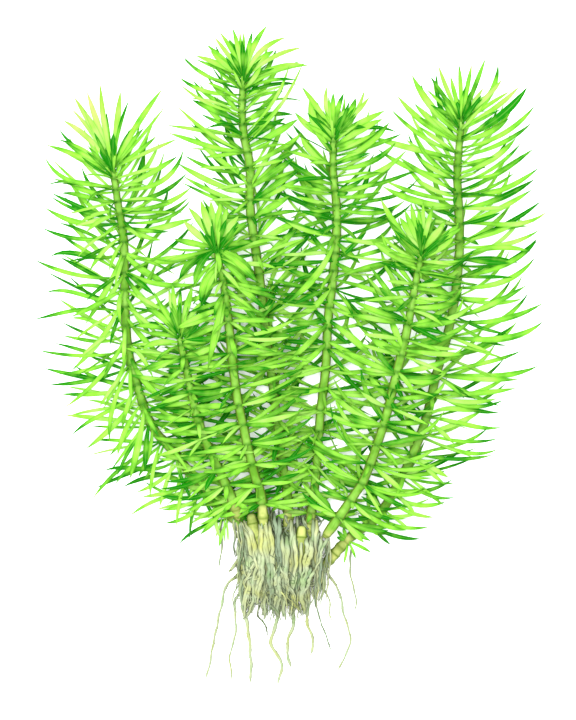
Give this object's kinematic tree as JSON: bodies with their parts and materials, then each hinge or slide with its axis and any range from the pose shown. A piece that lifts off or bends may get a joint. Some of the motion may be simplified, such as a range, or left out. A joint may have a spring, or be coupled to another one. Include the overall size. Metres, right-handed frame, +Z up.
{
  "type": "pogostemon deccanensis plant",
  "caption": "Rooted clump of an aquarium stem plant lying flat: leafy stems with whorls of slender leaves, pale stem feet, a knot of fine roots and long trailing roots.",
  "frame": {"origin": "middle of the part's outline seen from above, on the surface it lies on", "axes": "+Y from the roots to the shoot tips, +Z up, +X to the right when seen from above with the shoot tips away from the viewer"},
  "size_m": [0.1279, 0.1651, 0.0335],
  "materials": {
    "leaf": "soft satin leaf, lime green, darker beneath",
    "young_leaf": "soft satin leaf, yellow green",
    "stem": "smooth green stem, straw coloured at the foot",
    "old_foot": "dry straw coloured stem",
    "root": "pale fibrous root"
  },
  "bodies": {
    "root": {"leaves_front_left": "leaf", "leaves_front_right": "leaf", "leaves_left": "leaf", "leaves_middle": "leaf", "leaves_right": "leaf", "leaves_short": "leaf", "leaves_tall": "leaf", "long_root_01": "root", "long_root_02": "root", "long_root_03": "root", "long_root_04": "root", "long_root_05": "root", "long_root_06": "root", "long_root_07": "root", "long_root_08": "root", "long_root_09": "root", "long_root_10": "root", "long_root_11": "root", "long_root_12": "root", "long_root_13": "root", "old_foot_1": "old_foot", "old_foot_2": "old_foot", "old_foot_3": "old_foot", "root_tangle": "root", "shoot_tip_front_left": "young_leaf", "shoot_tip_front_right": "young_leaf", "shoot_tip_left": "young_leaf", "shoot_tip_middle": "young_leaf", "shoot_tip_right": "young_leaf", "shoot_tip_short": "young_leaf", "shoot_tip_tall": "young_leaf", "stem_front_left": "stem", "stem_front_right": "stem", "stem_left": "stem", "stem_middle": "stem", "stem_right": "stem", "stem_short": "stem", "stem_tall": "stem"}
  },
  "joints": []
}
